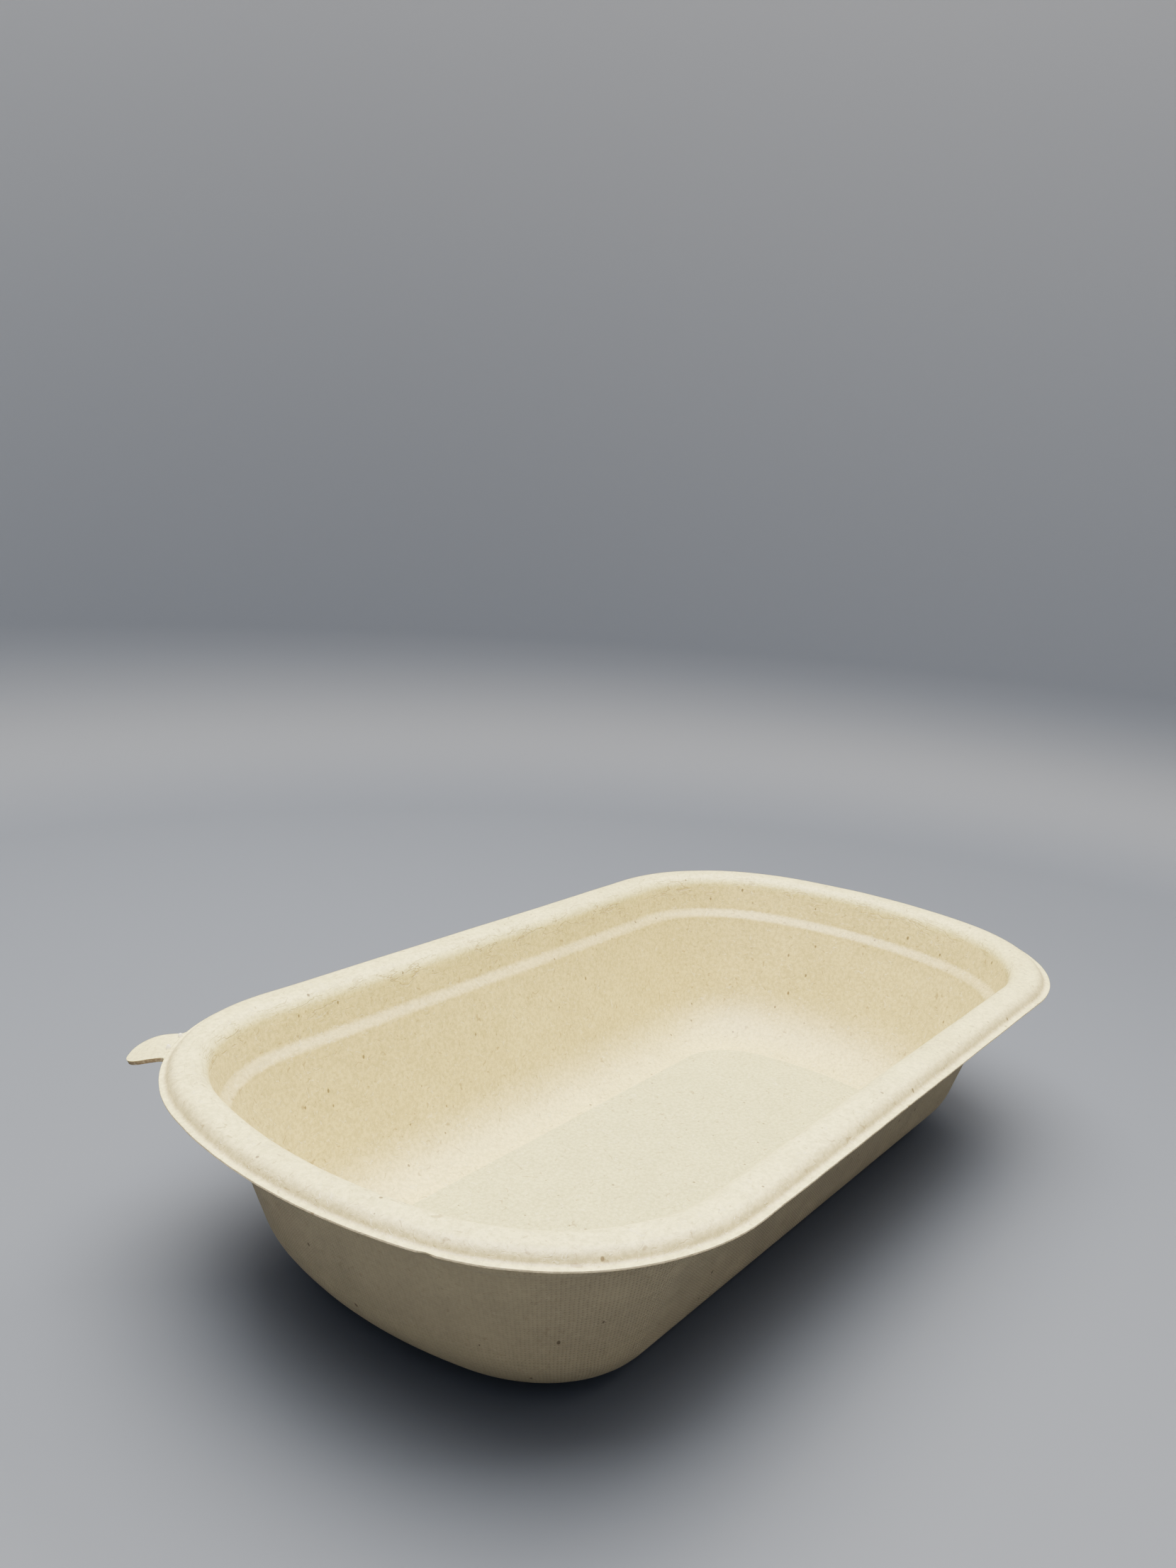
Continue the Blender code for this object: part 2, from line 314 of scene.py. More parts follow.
class Outline:
    """Plan of the dish at any inset: arcs for the ends and corners, straight long sides."""

    def __init__(self, sizes):
        self.sizes = sizes
        self.half_length = DISH_HIGH.x
        self.half_width = DISH_HIGH.y
        self.parallel_to = sizes.crest_side + sizes.bead_roll
        centre, turn = self.corner(0.0, 0.0, sizes.rim_corner)
        self.corner_centre = Vector((-centre[0], centre[1], 0.0))
        self.root_half = sizes.tab_width / 2 + TAB_FILLET
        spread = math.asin(self.root_half / sizes.rim_corner)
        middle = math.pi - TAB_ANGLE
        self.root_shares = [(middle + side * spread - turn) / (math.pi / 2 - turn) for side in (-1, 1)]
        self.quarters = [self.quarter_stations(False), self.quarter_stations(True)]

    def corner(self, inset_side, inset_end, radius):
        """Centre of the corner arc in the first quarter, and the angle where it leaves the end."""
        end_radius = self.sizes.rim_end - inset_side
        end_centre = self.half_length - inset_end - end_radius
        centre_y = self.half_width - inset_side - radius
        reach = end_radius - radius
        centre_x = end_centre + math.sqrt(reach * reach - centre_y * centre_y)
        return (centre_x, centre_y), math.atan2(centre_y, centre_x - end_centre)

    def corner_radius(self, inset):
        """Parallel to the rim down to the bead's foot, then easing to the floor's own corner."""
        if inset <= self.parallel_to:
            return self.sizes.rim_corner - inset
        share = (inset - self.parallel_to) / (self.sizes.floor_side - self.parallel_to)
        start = self.sizes.rim_corner - self.parallel_to
        return start + (self.sizes.floor_corner - start) * min(share, 1.0)

    def quarter_stations(self, with_root):
        """(kind, share along it) from the middle of an end to the middle of a side."""
        low, high = self.root_shares if with_root else (None, None)
        stations = [("end", i / END_STEPS) for i in range(END_STEPS)]
        stations += [("corner", t) for t in corner_shares(low, high)]
        return stations + [("side", i / SIDE_STEPS) for i in range(SIDE_STEPS + 1)]

    def point(self, station, inset_side, inset_end):
        """(x, y, end share) in the first quarter."""
        kind, t = station
        radius = self.corner_radius(inset_side)
        (centre_x, centre_y), turn = self.corner(inset_side, inset_end, radius)
        if kind == "end":
            end_radius = self.sizes.rim_end - inset_side
            end_centre = self.half_length - inset_end - end_radius
            return (end_centre + end_radius * math.cos(turn * t), end_radius * math.sin(turn * t), 1.0)
        if kind == "corner":
            angle = turn + (math.pi / 2 - turn) * t
            share = (1 + math.cos(math.pi * t)) / 2
            return (centre_x + radius * math.cos(angle), centre_y + radius * math.sin(angle), share)
        return (centre_x * (1 - t), self.half_width - inset_side, 0.0)

    def corner_push(self, x, y, inset):
        """How far the pressed form reaches into the tab's corner, beyond what the trimmed rim does."""
        from_centre = Vector((x, y, 0.0)) - self.corner_centre
        near = math.exp(-(from_centre.angle(TAB_OUT) / CORNER_SPREAD) ** 2)
        share = 0.0
        for (start, low), (end, high) in zip(CORNER_REACH, CORNER_REACH[1:]):
            if start * MM <= inset <= end * MM:
                share = low + (high - low) * (inset / MM - start) / (end - start)
        return from_centre.normalized() * self.sizes.corner_reach * near * share

    def ring(self, inset_side, inset_end):
        """The whole outline, anticlockwise from the middle of the +X end."""
        plain, tabbed = ([self.point(s, inset_side, inset_end) for s in quarter]
                         for quarter in self.quarters)
        ring = list(plain)
        for x, y, share in reversed(tabbed[:-1]):
            push = self.corner_push(-x, y, inset_side)
            ring.append((-x + push.x, y + push.y, share))
        ring += [(-x, -y, share) for x, y, share in plain[1:]]
        ring += [(x, -y, share) for x, y, share in reversed(plain[1:-1])]
        return ring

    def root_stations(self):
        """Numbers, in the ring, of the stations across the tab's root."""
        ring = self.ring(0.0, 0.0)
        reach = self.sizes.rim_corner
        found = []
        for i, (x, y, _) in enumerate(ring):
            from_centre = Vector((x, y, 0.0)) - self.corner_centre
            across = from_centre.dot(TAB_ALONG)
            if from_centre.dot(TAB_OUT) > 0.9 * reach and abs(across) < self.root_half + 0.01 * MM:
                found.append(i)
        return found


# ---------------------------------------------------------------- modelling


def deselect_all():
    """Leaves nothing selected, because operators act on all that is."""
    for other in bpy.context.selected_objects:
        other.select_set(False)


def make_active(piece):
    deselect_all()
    piece.select_set(True)
    bpy.context.view_layer.objects.active = piece


def select_only(mesh, chosen):
    """Selects these edges of an edit mesh, with their ends, and nothing else."""
    for face in mesh.faces:
        face.select = False
    for edge in mesh.edges:
        edge.select = False
    for vert in mesh.verts:
        vert.select = False
    for edge in chosen:
        edge.select = True
    mesh.select_flush_mode()


def extrude_row(piece, row, place, down):
    """Extrudes the selected edges once and puts each new point where place(station) says."""
    bpy.ops.mesh.extrude_edges_move(TRANSFORM_OT_translate={"value": (0.0, 0.0, 0.0)})
    mesh = bmesh.from_edit_mesh(piece.data)
    station = mesh.verts.layers.int["station"]
    row_layer = mesh.verts.layers.int["row"]
    down_layer = mesh.verts.layers.float["down"]
    for vert in mesh.verts:
        if vert.select:
            vert.co = place(vert[station])
            vert[row_layer] = row
            vert[down_layer] = down
    bmesh.update_edit_mesh(piece.data)


def wall_rings(side_points, end_points):
    """For each ring: inset on the sides and ends, height on the sides and ends, run down the wall."""
    rows = []
    run = 0.0
    for i, (side, end) in enumerate(zip(side_points, end_points)):
        if i:
            run += math.dist(side, side_points[i - 1])
        rows.append((side[0], end[0], side[1], end[1], run))
    return rows


def ring_places(outline, row):
    """Where each station of a ring goes."""
    inset_side, inset_end, low_side, low_end, _ = row
    return [Vector((x, y, LIP_TOP + low_side + (low_end - low_side) * share))
            for x, y, share in outline.ring(inset_side, inset_end)]


def start_rim(places):
    """A circle with one point for each station, laid on the lip's outer edge."""
    deselect_all()
    bpy.ops.mesh.primitive_circle_add(vertices=len(places), radius=DISH_HIGH.y, fill_type="NOTHING")
    piece = bpy.context.active_object
    piece.name = "pressed_dish"
    piece.data.name = "pressed_dish"
    for name, kind in (("station", "INT"), ("row", "INT"), ("down", "FLOAT")):
        piece.data.attributes.new(name, kind, "POINT")
    piece.data.attributes["station"].data.foreach_set("value", list(range(len(places))))
    for vert, place in zip(piece.data.vertices, places):
        vert.co = place
    return piece


def add_floor(piece, outline, sizes, last_row, row_number):
    """Closes the wall with rings that shrink towards the middle and one last face."""
    inset_side, inset_end, _, _, run = last_row
    band = 0.25 * MM
    rings = 12
    edge = outline.ring(inset_side + band, inset_end + band)
    floor_half = outline.half_width - inset_side
    for k in range(rings):
        share = k / rings

        def place(station, scale=1.0 - share):
            x, y, _ = edge[station]
            return Vector((x * scale, y * scale, sizes.wall))

        extrude_row(piece, row_number + k, place, run + band + share * floor_half)
    bpy.ops.mesh.edge_face_add()
    bpy.ops.mesh.poke()


def tab_half_width(sizes, out):
    """Half the tab's width at a distance out of the lip, with a small fillet at its root."""
    half = sizes.tab_width / 2
    if out < TAB_FILLET:
        half += TAB_FILLET - math.sqrt(TAB_FILLET ** 2 - (TAB_FILLET - out) ** 2)
    past = out - (sizes.tab_length - sizes.tab_round)
    if past > 0.0:
        past = min(past, sizes.tab_round)
        half -= sizes.tab_round - math.sqrt(sizes.tab_round ** 2 - past ** 2)
    return half


def tab_drop(sizes, out, across):
    """How far the tab hangs below the lip: nothing at the crease, more and more towards its tip."""
    share = out / sizes.tab_length
    droop = sizes.tab_length * (0.13 * share + 0.15 * share ** 2)
    twist = 0.25 * MM * share * across / (sizes.tab_width / 2)
    return droop + twist


def add_tab(piece, outline, sizes):
    """Extrudes the lip's edge outwards at the tab's root, one row after another."""
    mesh = bmesh.from_edit_mesh(piece.data)
    station = mesh.verts.layers.int["station"]
    row = mesh.verts.layers.int["row"]
    root = set(outline.root_stations())
    select_only(mesh, [e for e in mesh.edges
                       if all(v[row] == 0 and v[station] in root for v in e.verts)])
    bmesh.update_edit_mesh(piece.data)
    lip_edge = outline.ring(0.0, 0.0)
    straight_after = 3.0 * MM
    rows = 22
    for k in range(1, rows + 1):
        t = k / rows
        out = sizes.tab_length * math.sin(math.pi / 2 * t ** 1.15)
        half = tab_half_width(sizes, out)

        def place(number, out=out, half=half):
            x, y, _ = lip_edge[number]
            from_centre = Vector((x, y, 0.0)) - outline.corner_centre
            across = from_centre.dot(TAB_ALONG) / outline.root_half * half
            sagitta = sizes.rim_corner - from_centre.dot(TAB_OUT)
            reach = sizes.rim_corner - sagitta * max(0.0, 1.0 - out / straight_after) + out
            spot = outline.corner_centre + TAB_OUT * reach + TAB_ALONG * across
            spot.z = LIP_TOP - tab_drop(sizes, out, across)
            return spot

        extrude_row(piece, -k, place, -out)


def uneven(piece, sizes):
    """The slight unevenness of a pressed and dried wall, and a nick in the lip."""
    mesh = bmesh.from_edit_mesh(piece.data)
    mesh.normal_update()
    row = mesh.verts.layers.int["row"]
    nick, nick_depth, nick_width = Vector((-110.0 * MM, -30.8 * MM, 0.0)), 0.5 * MM, 0.9 * MM
    for vert in mesh.verts:
        spot = vert.co
        height_share = min(1.0, max(0.0, (spot.z - sizes.wall) / LIP_TOP))
        slow = noise.noise(spot * 22.0 + Vector((3.1, 7.7, 1.9)))
        quick = noise.noise(spot * 90.0 + Vector((11.0, 2.0, 5.0)))
        push = (0.09 * slow + 0.06 * quick) * MM * height_share
        if spot.z <= sizes.wall + 0.01 * MM:
            push = 0.0
        vert.co = spot + vert.normal * push
        if vert[row] == 0:
            ragged = noise.noise(spot * 260.0 + Vector((4.0, 9.0, 2.0))) * 0.05 * MM
            inward = Vector((-spot.x, -spot.y, 0.0)).normalized()
            flat = Vector((spot.x, spot.y, 0.0))
            dent = nick_depth * math.exp(-((flat - nick).length / nick_width) ** 2)
            vert.co += inward * (ragged + dent)
    bmesh.update_edit_mesh(piece.data)


def kept_values(piece, name):
    """The values of an attribute, point by point."""
    return [each.value for each in piece.data.attributes[name].data]


def lay_wall_map(piece, outline, ring_count):
    """Slots of wall and floor, and the map that runs round the dish and down its wall."""
    data = piece.data
    station, row, down = (kept_values(piece, name) for name in ("station", "row", "down"))
    middle = outline.ring(20.0 * MM, 20.0 * MM)
    around = [0.0]
    for first, second in zip(middle, middle[1:] + middle[:1]):
        around.append(around[-1] + math.dist(first[:2], second[:2]))
    total = len(middle)
    wall_map = data.uv_layers.new(name="wall_map")
    for face in data.polygons:
        on_floor = min(row[v] for v in face.vertices) >= ring_count - 1
        face.material_index = SLOT_FLOOR if on_floor else SLOT_INSIDE
        stations = [station[v] for v in face.vertices]
        wraps = 0 in stations and total - 1 in stations
        for loop, vert in zip(face.loop_indices, face.vertices):
            number = station[vert]
            if wraps and number == 0:
                number = total
            wall_map.data[loop].uv = (around[number], down[vert])


def point_shares(spot, row, sizes):
    """What the materials read at a point of the wall, each from 0 to 1."""
    drop = LIP_TOP - spot.z
    on_rim = drop < -0.5 * MM or row <= RIM_LAST_ROW
    creased = math.exp(-((drop - 1.0 * MM) / (2.8 * MM)) ** 2) if row >= CREASE_FIRST_ROW else 0.0
    long_side = max(0.0, min(1.0, (spot.y - 30.0 * MM) / (20.0 * MM)))
    climb = min(1.0, (spot.z - sizes.wall) / (10.0 * MM))
    from_worn = math.dist((abs(spot.x), spot.y), (105.0 * MM, -22.0 * MM))
    return {
        "rim_share": 1.0 if on_rim else max(0.0, 1.0 - (drop + 0.5 * MM) / (2.4 * MM)),
        "crumple_share": creased * (0.6 + 0.4 * long_side),
        "screen_share": 1.0 - 0.93 * math.exp(-(from_worn / (42.0 * MM)) ** 2),
        # painted shade in the lip's hollow and up the bead's outer flank, ring by ring
        "groove_painted_shade": GROOVE_SHADE_SHARES.get(row, 0.0),
        # the tab's rows: torn fibre with painted shade on its cut edge
        "torn_and_shaded_share": 1.0 if row < 0 else 0.0,
        # painted sheen: paler towards the floor
        "cove_painted_sheen": (1.0 - climb) ** 1.6,
    }


def mark_shares(piece, sizes):
    """Keeps the shares on the piece's points."""
    row = kept_values(piece, "row")
    shares = [point_shares(vert.co, row[vert.index], sizes) for vert in piece.data.vertices]
    for name in shares[0]:
        attribute = piece.data.attributes.new(name, "FLOAT", "POINT")
        attribute.data.foreach_set("value", [each[name] for each in shares])


def feather_lip(piece, outline):
    """Thins the wall towards the lip's trimmed edge, except across the tab's root."""
    root = set(outline.root_stations())
    feather = piece.vertex_groups.new(name="feather")
    for i, (station, row) in enumerate(zip(kept_values(piece, "station"), kept_values(piece, "row"))):
        share = 1.0 if station in root else FEATHER_SHARES.get(row, 1.0)
        feather.add([i], share, "REPLACE")


def thicken(piece, sizes):
    """Gives the open wall its thickness below the pressed face and rounds the trimmed edge."""
    shell = piece.modifiers.new("wall", "SOLIDIFY")
    shell.thickness = sizes.wall
    shell.offset = -1.0
    shell.use_even_offset = True
    shell.vertex_group = "feather"
    shell.material_offset = SLOT_OUTSIDE
    shell.material_offset_rim = SLOT_CUT
    bpy.ops.object.modifier_apply(modifier=shell.name)
    edge = piece.modifiers.new("edge", "BEVEL")
    edge.width = 0.14 * MM
    edge.segments = 3
    edge.limit_method = "ANGLE"
    edge.angle_limit = math.radians(55.0)
    bpy.ops.object.modifier_apply(modifier=edge.name)


def fill_open_edges(piece):
    """Caps the hole that splitting leaves, with one face across the wall."""
    make_active(piece)
    bpy.ops.object.mode_set(mode="EDIT")
    bpy.ops.mesh.select_all(action="DESELECT")
    mesh = bmesh.from_edit_mesh(piece.data)
    select_only(mesh, [e for e in mesh.edges if e.is_boundary])
    bmesh.update_edit_mesh(piece.data)
    bpy.ops.mesh.edge_face_add()
    bpy.ops.mesh.quads_convert_to_tris()
    bpy.ops.object.mode_set(mode="OBJECT")


# ---------------------------------------------------------------- shader building


class Nodes:
    """Short ways to add and wire nodes in a material or a group."""

    def __init__(self, tree):
        self.tree = tree

    def add(self, kind, values=None, **settings):
        """A node with these settings, whose inputs take values or other nodes' outputs."""
        node = self.tree.nodes.new(kind)
        for key, value in settings.items():
            setattr(node, key, value)
        for key, value in (values or {}).items():
            if isinstance(value, bpy.types.NodeSocket):
                self.link(value, node.inputs[key])
            else:
                node.inputs[key].default_value = value
        return node

    def link(self, output, socket):
        self.tree.links.new(output, socket)

    def math(self, operation, first, second=0.0):
        return self.add("ShaderNodeMath", {0: first, 1: second}, operation=operation).outputs[0]

    def vector(self, operation, first, second):
        node = self.add("ShaderNodeVectorMath", {0: first, 1: second}, operation=operation)
        return node.outputs[0]

    def scaled(self, vector, factor):
        node = self.add("ShaderNodeVectorMath", {0: vector, 3: factor}, operation="SCALE")
        return node.outputs[0]

    def band(self, value, low, high, start=0.0, end=1.0):
        """Eases value from start to end as it goes from low to high."""
        node = self.add("ShaderNodeMapRange", {0: value, 1: low, 2: high, 3: start, 4: end},
                        interpolation_type="SMOOTHSTEP")
        return node.outputs[0]

    def noise(self, vector, scale, detail, rough=0.5):
        node = self.add("ShaderNodeTexNoise",
                        {"Vector": vector, "Scale": scale, "Detail": detail, "Roughness": rough})
        return node.outputs[0]

    def mix(self, share, first, second, blend="MIX"):
        node = self.add("ShaderNodeMix", {0: share, 6: first, 7: second}, data_type="RGBA",
                        blend_type=blend)
        return node.outputs[2]

    def tint(self, base, mask, strength, colour):
        """Base with this colour mixed in where the mask shows it."""
        return self.mix(self.math("MULTIPLY", mask, strength), base, colour)

    def group(self, tree, values):
        return self.add("ShaderNodeGroup", values, node_tree=tree).outputs


def new_group(name, values, outputs):
    """An empty node group that takes a Vector and these values, with the sockets at its two ends."""
    tree = bpy.data.node_groups.new(name, "ShaderNodeTree")
    tree.interface.new_socket(name="Vector", in_out="INPUT", socket_type="NodeSocketVector")
    for label, default in values.items():
        socket = tree.interface.new_socket(name=label, in_out="INPUT", socket_type="NodeSocketFloat")
        socket.default_value = default
    for label in outputs:
        tree.interface.new_socket(name=label, in_out="OUTPUT", socket_type="NodeSocketFloat")
    start = tree.nodes.new("NodeGroupInput")
    end = tree.nodes.new("NodeGroupOutput")
    return Nodes(tree), start.outputs, end.inputs


def pulp_grain_group():
    """Fine felted grain and slow clouding of pressed pulp."""
    nodes, given, out = new_group("pulp_grain", {"Grain size": 0.0005, "Cloud size": 0.012},
                                  ["Grain", "Cloud"])
    grain_scale = nodes.math("DIVIDE", 1.0, given["Grain size"])
    cloud_scale = nodes.math("DIVIDE", 1.0, given["Cloud size"])
    nodes.link(nodes.noise(given["Vector"], grain_scale, 4.0, 0.68), out["Grain"])
    nodes.link(nodes.noise(given["Vector"], cloud_scale, 4.0, 0.55), out["Cloud"])
    return nodes.tree


def fibre_strands_group():
    """Short curved strands lying every way in the felt: pieces of thin contour lines."""
    nodes, given, out = new_group("fibre_strands", {"Size": 0.0026, "Width": 0.022},
                                  ["Dark", "Faint", "Pale"])
    density = nodes.math("DIVIDE", 1.0, given["Size"])
    kinds = (("Dark", 0.55, 1.6, 0.61, (0.31, 0.17, 0.53)),
             ("Faint", 1.3, 2.8, 0.50, (0.87, 0.41, 0.09)),
             ("Pale", 1.2, 2.4, 0.52, (0.23, 0.79, 0.36)))
    for label, fineness, break_up, threshold, shift in kinds:
        place = nodes.vector("ADD", given["Vector"], shift)
        line_scale = nodes.math("MULTIPLY", density, fineness)
        ridge = nodes.noise(place, line_scale, 1.0, 0.4)
        near = nodes.math("ABSOLUTE", nodes.math("SUBTRACT", ridge, 0.5))
        line = nodes.band(near, nodes.math("MULTIPLY", given["Width"], 0.35), given["Width"], 1.0, 0.0)
        elsewhere = nodes.vector("ADD", place, (0.5, 0.5, 0.5))
        pieces = nodes.noise(elsewhere, nodes.math("MULTIPLY", density, break_up), 1.0, 0.4)
        kept = nodes.band(pieces, threshold, threshold + 0.04)
        nodes.link(nodes.math("MULTIPLY", line, kept), out[label])
    return nodes.tree


def bark_specks_group():
    """Sparse dark specks, a few of them long."""
    nodes, given, out = new_group("bark_specks", {"Spacing": 0.0042, "Share": 0.35}, ["Speck"])
    density = nodes.math("DIVIDE", 1.0, given["Spacing"])
    stretch = nodes.vector("MULTIPLY", given["Vector"], (1.0, 1.0, 0.62))
    cells = nodes.add("ShaderNodeTexVoronoi", {"Vector": stretch, "Scale": density})
    parts = nodes.add("ShaderNodeSeparateColor", {0: cells.outputs["Color"]})
    size = nodes.band(parts.outputs[1], 0.0, 1.0, 0.030, 0.078)
    speck = nodes.band(cells.outputs["Distance"], size, nodes.math("MULTIPLY", size, 1.7), 1.0, 0.0)
    kept = nodes.math("LESS_THAN", parts.outputs[0], given["Share"])
    nodes.link(nodes.math("MULTIPLY", speck, kept), out["Speck"])
    return nodes.tree


def screen_imprint_group():
    """The dimples that the woven wire of the forming screen leaves."""
    nodes, given, out = new_group("screen_imprint", {"Pitch": 0.00056, "Strength": 1.0},
                                  ["Height", "Pit"])
    wander = nodes.add("ShaderNodeTexNoise", {"Vector": given["Vector"], "Scale": 260.0, "Detail": 1.0})
    sway = nodes.scaled(nodes.vector("SUBTRACT", wander.outputs[1], (0.5, 0.5, 0.5)), 0.0003)
    place = nodes.vector("ADD", given["Vector"], sway)
    turned = nodes.add("ShaderNodeVectorRotate", {"Vector": place, "Rotation": (0.0, 0.0, 0.10)},
                       rotation_type="EULER_XYZ").outputs[0]
    axes = nodes.add("ShaderNodeSeparateXYZ", {0: turned})
    turns = nodes.math("DIVIDE", 2 * math.pi, given["Pitch"])
    wires = [nodes.math("COSINE", nodes.math("MULTIPLY", axes.outputs[i], turns)) for i in (0, 1)]
    weave = nodes.math("ADD", wires[0], wires[1])
    worn = nodes.band(nodes.noise(given["Vector"], 170.0, 2.0), 0.30, 0.55, 0.65, 1.0)
    depth = nodes.math("MULTIPLY", given["Strength"], worn)
    nodes.link(nodes.math("MULTIPLY", nodes.math("MULTIPLY", weave, 0.5), depth), out["Height"])
    pits = nodes.band(weave, -1.85, -0.7, 1.0, 0.0)
    nodes.link(nodes.math("MULTIPLY", pits, depth), out["Pit"])
    return nodes.tree


def press_creases_group():
    """Thin wandering creases where the felt was drawn over the bead, along the wall."""
    nodes, given, out = new_group("press_creases", {"Strength": 1.0}, ["Crease", "Ripple"])
    place = nodes.vector("MULTIPLY", given["Vector"], (95.0, 300.0, 1.0))
    ridge = nodes.noise(place, 1.0, 3.0, 0.55)
    near = nodes.math("ABSOLUTE", nodes.math("SUBTRACT", ridge, 0.5))
    line = nodes.band(near, 0.004, 0.020, 1.0, 0.0)
    patch = nodes.band(nodes.noise(given["Vector"], 110.0, 2.0), 0.40, 0.50)
    crease = nodes.math("MULTIPLY", line, patch)
    nodes.link(nodes.math("MULTIPLY", crease, given["Strength"]), out["Crease"])
    ripple = nodes.noise(nodes.vector("MULTIPLY", given["Vector"], (420.0, 900.0, 1.0)), 1.0, 3.0, 0.6)
    nodes.link(nodes.math("MULTIPLY", ripple, given["Strength"]), out["Ripple"])
    return nodes.tree


GROUP_MAKERS = {
    "pulp_grain": pulp_grain_group,
    "fibre_strands": fibre_strands_group,
    "bark_specks": bark_specks_group,
    "screen_imprint": screen_imprint_group,
    "press_creases": press_creases_group,
}


def effect(name):
    """The shared node group of this name, built once."""
    return bpy.data.node_groups.get(name) or GROUP_MAKERS[name]()


def share_of(nodes, name):
    """A share from 0 to 1 kept on the piece's points."""
    return nodes.add("ShaderNodeAttribute", attribute_name=name).outputs["Fac"]


def fibre_material(name, colour, roughness, speck_colour, grain_depth, rim_colour=None, screen=None,
                   strand_tint=0.5, pale_tint=0.30, mottle=0.12, specular=0.5, torn_edge_and_shade=False):
    """Pressed plant fibre: grain, strands and specks, with the screen's imprint on the outer side."""
    material = bpy.data.materials.new(name)
    material.use_nodes = True
    material.node_tree.nodes.clear()
    nodes = Nodes(material.node_tree)
    place = nodes.add("ShaderNodeTexCoord").outputs["Object"]
    wall = nodes.add("ShaderNodeUVMap", uv_map="wall_map").outputs[0]
    grain = nodes.group(effect("pulp_grain"), {"Vector": place, "Grain size": 0.00095, "Cloud size": 0.010})
    strands = nodes.group(effect("fibre_strands"), {"Vector": place})
    specks = nodes.group(effect("bark_specks"), {"Vector": place, "Spacing": 0.0034, "Share": 0.65})
    base = colour
    if rim_colour:
        base = nodes.mix(share_of(nodes, "rim_share"), colour, rim_colour)
        # Painted shade: the lip's hollow and the bead's outer flank tinted darker tan
        base = nodes.tint(base, share_of(nodes, "groove_painted_shade"), 0.72, GROOVE_PAINTED_SHADE)
        # Painted sheen: the cove made paler and yellower towards the floor
        base = nodes.tint(base, share_of(nodes, "cove_painted_sheen"), 0.85, COVE_PAINTED_SHEEN)
    cloud = nodes.band(grain["Cloud"], 0.35, 0.68, 0.955, 1.035)
    fine = nodes.band(grain["Grain"], 0.34, 0.64, 1.0 - 1.5 * mottle, 1.0 + mottle)
    shade = nodes.math("MULTIPLY", cloud, fine)
    grey = nodes.add("ShaderNodeCombineColor", {0: shade, 1: shade, 2: shade}).outputs[0]
    tinted = nodes.mix(1.0, base, grey, "MULTIPLY")
    tinted = nodes.tint(tinted, strands["Faint"], strand_tint * 0.4, FAINT_STRAND)
    tinted = nodes.tint(tinted, strands["Dark"], strand_tint, DARK_STRAND)
    tinted = nodes.tint(tinted, strands["Pale"], pale_tint, PALE_STRAND)
    height = nodes.math("MULTIPLY", grain["Grain"], grain_depth)
    height = nodes.math("ADD", height, nodes.math("MULTIPLY", strands["Pale"], 0.25))
    height = nodes.math("SUBTRACT", height, nodes.math("MULTIPLY", strands["Faint"], 0.20))
    if screen:
        imprint = nodes.group(effect("screen_imprint"), {
            "Vector": place if screen == "flat" else wall,
            "Strength": 0.9 if screen == "flat" else share_of(nodes, "screen_share"),
            "Pitch": bpy.context.scene.fibre_dish_sizes.screen_pitch})
        height = nodes.math("ADD", height, nodes.math("MULTIPLY", imprint["Height"], 1.1))
        tinted = nodes.tint(tinted, imprint["Pit"], 0.90, PIT_SHADE)
    else:
        creases = nodes.group(effect("press_creases"),
                              {"Vector": wall, "Strength": share_of(nodes, "crumple_share")})
        height = nodes.math("SUBTRACT", height, nodes.math("MULTIPLY", creases["Crease"], 0.9))
        height = nodes.math("ADD", height, nodes.math("MULTIPLY", creases["Ripple"], 0.3))
        tinted = nodes.tint(tinted, creases["Crease"], 0.60, CREASE_SHADE)
    tinted = nodes.tint(tinted, specks["Speck"], 0.85, speck_colour)
    if torn_edge_and_shade:
        # Torn fibre and painted shade: the tab's cut edge darkened to brown in shreds
        shreds = nodes.band(grain["Grain"], 0.25, 0.52)
        torn_and_shaded = nodes.math("MULTIPLY", share_of(nodes, "torn_and_shaded_share"), shreds)
        tinted = nodes.tint(tinted, torn_and_shaded, 0.85, TORN_FIBRE_AND_SHADE)
    rough = nodes.band(grain["Cloud"], 0.3, 0.7, roughness - 0.05, roughness + 0.05)
    bump = nodes.add("ShaderNodeBump", {"Strength": 1.0, "Distance": 0.16 * MM, "Height": height})
    shader = nodes.add("ShaderNodeBsdfPrincipled", {
        "Base Color": tinted, "Roughness": rough, "Normal": bump.outputs[0],
        "Specular IOR Level": specular, "Metallic": 0.0})
    out = nodes.add("ShaderNodeOutputMaterial")
    nodes.link(shader.outputs[0], out.inputs[0])
    return material


def plain_material(name, colour, roughness):
    """A finish with no grain of its own."""
    material = bpy.data.materials.new(name)
    material.use_nodes = True
    shader = material.node_tree.nodes["Principled BSDF"]
    shader.inputs["Base Color"].default_value = colour
    shader.inputs["Roughness"].default_value = roughness
    return material


def dish_materials():
    """One material for each slot of the wall, in slot order."""
    colours = bpy.context.scene.fibre_dish_colours
    speck = tuple(colours.speck)
    screen_side = {"grain_depth": 0.4, "strand_tint": 0.18, "pale_tint": 0.05, "mottle": 0.035}
    return [
        fibre_material("pressed_inside", tuple(colours.inside), 0.42, speck,
                       rim_colour=tuple(colours.rim), grain_depth=0.8, specular=0.6),
        fibre_material("floor_panel", tuple(colours.floor), 0.75, speck, grain_depth=0.42),
        fibre_material("screen_outside", tuple(colours.outside), 0.80, speck, screen="wall", **screen_side),
        fibre_material("screen_underside", tuple(colours.outside), 0.80, speck, screen="flat", **screen_side),
        fibre_material("cut_edge", tuple(colours.cut), 0.90, speck, grain_depth=1.0, torn_edge_and_shade=True),
    ]


# ---------------------------------------------------------------- operators


